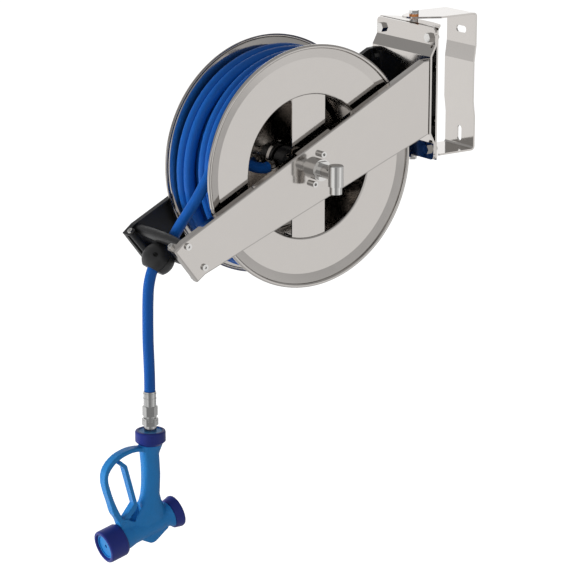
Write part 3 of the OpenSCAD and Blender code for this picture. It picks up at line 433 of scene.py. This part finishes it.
def new_group(name, inputs, outputs):
    """An empty shader group of numbers with its sockets and its two end nodes."""
    group = bpy.data.node_groups.new(name, "ShaderNodeTree")
    for label, value in inputs:
        socket = group.interface.new_socket(name=label, in_out="INPUT", socket_type=FLOAT)
        socket.default_value = value
    for label in outputs:
        group.interface.new_socket(name=label, in_out="OUTPUT", socket_type=FLOAT)
    return group, group.nodes.new("NodeGroupInput"), group.nodes.new("NodeGroupOutput")


def add_math(nodes, operation, second=None):
    """Math node, with its second number set where one is given."""
    node = nodes.new("ShaderNodeMath")
    node.operation = operation
    if second is not None:
        node.inputs[1].default_value = second
    return node


# %% [markdown]
# The gloss group multiplies a broad noise with a finer one and spreads the product
# between two roughnesses. It also gives the product as a mask for the colour.

# %% Gloss group
FINE_TIMES = 7.0
BROAD_DETAIL, FINE_DETAIL = 3.0, 2.0
GLOSS_MASK = (0.12, 0.4)


def make_gloss_group():
    """Roughness between Low and High, spread by two noises of different scale."""
    inputs = [("Scale", 40.0), ("Low", 0.1), ("High", 0.2)]
    group, gin, gout = new_group("uneven_gloss", inputs, ["Roughness", "Mask"])
    n, l = group.nodes, group.links
    coord = n.new("ShaderNodeTexCoord")
    broad, fine = n.new("ShaderNodeTexNoise"), n.new("ShaderNodeTexNoise")
    broad.inputs["Detail"].default_value = BROAD_DETAIL
    fine.inputs["Detail"].default_value = FINE_DETAIL
    times = add_math(n, "MULTIPLY", FINE_TIMES)
    product = add_math(n, "MULTIPLY")
    span = n.new("ShaderNodeMapRange")
    span.inputs["From Min"].default_value = GLOSS_MASK[0]
    span.inputs["From Max"].default_value = GLOSS_MASK[1]
    l.new(gin.outputs["Scale"], broad.inputs["Scale"])
    l.new(gin.outputs["Scale"], times.inputs[0])
    l.new(times.outputs[0], fine.inputs["Scale"])
    for noise in (broad, fine):
        l.new(coord.outputs["Object"], noise.inputs["Vector"])
    l.new(broad.outputs[0], product.inputs[0])
    l.new(fine.outputs[0], product.inputs[1])
    l.new(product.outputs[0], span.inputs["Value"])
    l.new(gin.outputs["Low"], span.inputs["To Min"])
    l.new(gin.outputs["High"], span.inputs["To Max"])
    l.new(span.outputs[0], gout.inputs["Roughness"])
    l.new(product.outputs[0], gout.inputs["Mask"])
    return group


# %% Grain group
GRAIN_DETAIL = 2.0


def make_grain_group():
    """Height of a fine moulded or sprayed grain."""
    group, gin, gout = new_group("fine_grain", [("Scale", 900.0)], ["Height"])
    n, l = group.nodes, group.links
    coord = n.new("ShaderNodeTexCoord")
    noise = n.new("ShaderNodeTexNoise")
    noise.inputs["Detail"].default_value = GRAIN_DETAIL
    l.new(coord.outputs["Object"], noise.inputs["Vector"])
    l.new(gin.outputs["Scale"], noise.inputs["Scale"])
    l.new(noise.outputs[0], gout.inputs["Height"])
    return group


GLOSS, GRAIN = make_gloss_group(), make_grain_group()

# %% Finish builder
TINT_MASK = (0.1, 0.42)
GRAIN_DEPTH = 0.0003


def finish(name, color, rough, scale, metallic=0.0, vary=0.06, specular=0.5):
    """Principled material; rough is its least and most roughness, vary its tint."""
    mat = bpy.data.materials.new(name)
    mat.use_nodes = True
    n, l = mat.node_tree.nodes, mat.node_tree.links
    shader = n["Principled BSDF"]
    shader.inputs["Metallic"].default_value = metallic
    shader.inputs["Specular IOR Level"].default_value = specular
    gloss = n.new("ShaderNodeGroup")
    gloss.node_tree = GLOSS
    gloss.inputs["Scale"].default_value = scale
    gloss.inputs["Low"].default_value, gloss.inputs["High"].default_value = rough
    l.new(gloss.outputs["Roughness"], shader.inputs["Roughness"])
    tint = n.new("ShaderNodeMix")
    tint.data_type = "RGBA"
    tint.inputs["A"].default_value = tuple(c * (1 - vary) for c in color) + (1,)
    tint.inputs["B"].default_value = tuple(min(1, c * (1 + vary)) for c in color) + (1,)
    spread = n.new("ShaderNodeMapRange")
    spread.inputs["From Min"].default_value = TINT_MASK[0]
    spread.inputs["From Max"].default_value = TINT_MASK[1]
    l.new(gloss.outputs["Mask"], spread.inputs["Value"])
    l.new(spread.outputs[0], tint.inputs["Factor"])
    l.new(tint.outputs["Result"], shader.inputs["Base Color"])
    return mat


def metal(name, color, rough, scale, vary=0.06):
    """Finish of bare metal."""
    return finish(name, color, rough, scale, metallic=1.0, vary=vary)


def grained(name, color, rough, scale, depth, grain_scale, specular=0.5):
    """Finish of paint, plastic or rubber with a fine grain."""
    mat = finish(name, color, rough, scale, specular=specular)
    n, l = mat.node_tree.nodes, mat.node_tree.links
    grain = n.new("ShaderNodeGroup")
    grain.node_tree = GRAIN
    grain.inputs["Scale"].default_value = grain_scale
    bump = n.new("ShaderNodeBump")
    bump.inputs["Strength"].default_value = depth
    bump.inputs["Distance"].default_value = GRAIN_DEPTH
    l.new(grain.outputs["Height"], bump.inputs["Height"])
    l.new(bump.outputs["Normal"], n["Principled BSDF"].inputs["Normal"])
    return mat


# %% [markdown]
# A row for metal gives the colour, the least and most roughness, the scale of the
# variation and how much the colour varies. A row for a grained finish gives the depth
# and scale of the grain after that, and the strength of its highlights.

# %% Finishes of the object
METALS = {
    "polished_steel": ((0.56, 0.533, 0.508), (0.08, 0.13), 9.0, 0.012),
    "bright_steel": ((0.66, 0.65, 0.635), (0.08, 0.16), 60.0, 0.03),
    "bronze": ((0.80, 0.33, 0.12), (0.2, 0.34), 90.0),
    "plated_fitting": ((0.46, 0.46, 0.455), (0.12, 0.2), 60.0, 0.03),
    "spring_steel": ((0.16, 0.17, 0.2), (0.25, 0.4), 80.0),
}
GRAINED = {
    # Painted shade: the near black coat of black_paint dresses the far arm, so that its inner
    # face shows the dark that is only shade between the arms.
    "black_paint": ((0.006, 0.006, 0.0065), (0.40, 0.45), 60.0, 0.25, 1400.0),
    # black_plastic is the real black plastic of several pieces, and it also dresses the spacer
    # set in the gap between the carrier plate and the swivel bracket, where it is painted
    # shade.
    "black_plastic": ((0.018, 0.018, 0.019), (0.34, 0.5), 60.0, 0.2, 1500.0, 0.4),
    "blue_hose": ((0.008, 0.105, 0.43), (0.36, 0.5), 50.0, 0.12, 1100.0, 0.22),
    "gun_blue": ((0.022, 0.225, 0.585), (0.34, 0.5), 50.0, 0.2, 1300.0, 0.25),
    "gun_navy": ((0.017, 0.030, 0.215), (0.34, 0.5), 50.0, 0.2, 1300.0, 0.25),
}
FINISH = {name: metal(name, *row) for name, row in METALS.items()}
FINISH.update({name: grained(name, *row) for name, row in GRAINED.items()})

# %% Finish of each piece
slot_of = {s["node"]: s["material_slot"] for s in frame["record"]["subparts"]}
for node_name in ("hose_ferrule", "ferrule_nut", "gun_adaptor"):
    slot_of[node_name] = "plated_fitting"
slot_of["trigger_pin"] = "gun_blue"


def dress(obj, finish_name):
    """Puts one finish on the object in place of any other."""
    obj.data.materials.clear()
    obj.data.materials.append(FINISH[finish_name])


for node_name, obj in frame["nodes"].items():
    dress(obj, slot_of[node_name])
dress(gun_skin, "gun_blue")
for piece in (hose_lead, winding, inner, inner_fill, hose_tail):
    dress(piece, "blue_hose")

# %% [markdown]
# ## Studio
# A pale floor far below the gun, a room that the metal mirrors, and two soft lamps. The
# room is grey, with brighter panels all round and one darker panel below the camera, so
# that the polished sheet shows both light and dark.

# %% Floor
WHITE = (1, 1, 1, 1)
FLOOR_Z, FLOOR_HALF = -1.3, 30
FLOOR_COLOR, FLOOR_ROUGH = (0.8, 0.8, 0.8, 1), 0.9
FLOOR_GLOW = 0.9  # only for the camera


def add_floor():
    """Large pale floor below the hanging gun."""
    mesh = bpy.data.meshes.new("floor")
    corners = [(-1, -1), (1, -1), (1, 1), (-1, 1)]
    mesh.from_pydata(
        [(x * FLOOR_HALF, y * FLOOR_HALF, FLOOR_Z) for x, y in corners], [], [(0, 1, 2, 3)])
    floor = bpy.data.objects.new("floor", mesh)
    scene.collection.objects.link(floor)
    mat = bpy.data.materials.new("pale_floor")
    mat.use_nodes = True
    n, l = mat.node_tree.nodes, mat.node_tree.links
    shader = n["Principled BSDF"]
    shader.inputs["Base Color"].default_value = FLOOR_COLOR
    shader.inputs["Roughness"].default_value = FLOOR_ROUGH
    shader.inputs["Specular IOR Level"].default_value = 0.0
    shader.inputs["Emission Color"].default_value = WHITE
    path = n.new("ShaderNodeLightPath")
    glow = add_math(n, "MULTIPLY", FLOOR_GLOW)
    l.new(path.outputs["Is Camera Ray"], glow.inputs[0])
    l.new(glow.outputs[0], shader.inputs["Emission Strength"])
    mesh.materials.append(mat)
    floor.visible_glossy = False


add_floor()

# %% [markdown]
# Each panel of the room is a direction, two cosines between which it fades in, and a
# brightness. A later panel lies over an earlier one.

# %% Room
ROOM = 0.40
ROOM_LIGHT = 0.5  # share of the room's brightness that lights rough surfaces
PANELS = [
    ((0, 0, -1), -0.02, 0.2, 0.60),
    ((1, 0, 0), 0.75, 0.95, 0.6),
    ((0.789, 0.555, -0.264), 0.94, 0.97, 1.0),
    ((-0.70, -0.50, -0.50), 0.80, 0.92, 1.1),
    ((-0.789, 0.555, 0.10), 0.80, 0.92, 1.2),
    ((0.60, 0.40, -0.70), 0.89, 0.97, 0.87),
    ((0.25, -0.94, -0.25), 0.84, 0.95, 1.0),
    ((0.789, -0.555, 0.28), 0.90, 0.97, 0.85),
    ((0.789, -0.555, -0.30), 0.90, 0.97, 0.36),
]


def add_panels(nodes, links):
    """Brightness of the room in each direction, as a node's output."""
    coord = nodes.new("ShaderNodeTexCoord")
    level = None
    for axis, outer_cos, inner_cos, value in PANELS:
        dot = nodes.new("ShaderNodeVectorMath")
        dot.operation = "DOT_PRODUCT"
        dot.inputs[1].default_value = Vector(axis).normalized()
        links.new(coord.outputs["Generated"], dot.inputs[0])
        fade = nodes.new("ShaderNodeMapRange")
        fade.interpolation_type = "SMOOTHSTEP"
        fade.inputs["From Min"].default_value = outer_cos
        fade.inputs["From Max"].default_value = inner_cos
        links.new(dot.outputs["Value"], fade.inputs["Value"])
        mix = nodes.new("ShaderNodeMix")
        mix.inputs["A"].default_value, mix.inputs["B"].default_value = ROOM, value
        if level:
            links.new(level, mix.inputs["A"])
        links.new(fade.outputs["Result"], mix.inputs["Factor"])
        level = mix.outputs["Result"]
    return level


# %% World
def add_world():
    """White for the camera, the panelled room for reflections, and half of it for light."""
    world = bpy.data.worlds.new("studio")
    scene.world = world
    world.use_nodes = True
    n, l = world.node_tree.nodes, world.node_tree.links
    level = add_panels(n, l)
    room = n["Background"]
    white, dim = n.new("ShaderNodeBackground"), n.new("ShaderNodeBackground")
    for node in (room, white, dim):
        node.inputs["Color"].default_value = WHITE
    weaker = add_math(n, "MULTIPLY", ROOM_LIGHT)
    l.new(level, room.inputs["Strength"])
    l.new(level, weaker.inputs[0])
    l.new(weaker.outputs[0], dim.inputs["Strength"])
    path = n.new("ShaderNodeLightPath")
    glossy, camera_mix = n.new("ShaderNodeMixShader"), n.new("ShaderNodeMixShader")
    l.new(path.outputs["Is Glossy Ray"], glossy.inputs[0])
    l.new(dim.outputs[0], glossy.inputs[1])
    l.new(room.outputs[0], glossy.inputs[2])
    l.new(path.outputs["Is Camera Ray"], camera_mix.inputs[0])
    l.new(glossy.outputs[0], camera_mix.inputs[1])
    l.new(white.outputs[0], camera_mix.inputs[2])
    l.new(camera_mix.outputs[0], n["World Output"].inputs["Surface"])


add_world()

# %% Lamps
LAMP_AIM = (0, -0.6, -0.4)
LAMP_SIZE = 1.8
LAMPS = {"key": ((-2.4, -3.9, -0.3), 146), "front": ((3.4, -3.4, 0.6), 40)}  # place, watts


def add_lamp(name, place, power):
    """Soft square lamp that points at the reel and shows in no reflection."""
    data = bpy.data.lights.new(name, "AREA")
    data.size, data.energy = LAMP_SIZE, power
    lamp = bpy.data.objects.new(name, data)
    lamp.location = place
    lamp.rotation_mode = "QUATERNION"
    lamp.rotation_quaternion = (Vector(LAMP_AIM) - Vector(place)).to_track_quat("-Z", "Y")
    lamp.visible_glossy = False
    scene.collection.objects.link(lamp)


for lamp_name, (place, power) in LAMPS.items():
    add_lamp(lamp_name, place, power)
scene.view_settings.view_transform = "Standard"
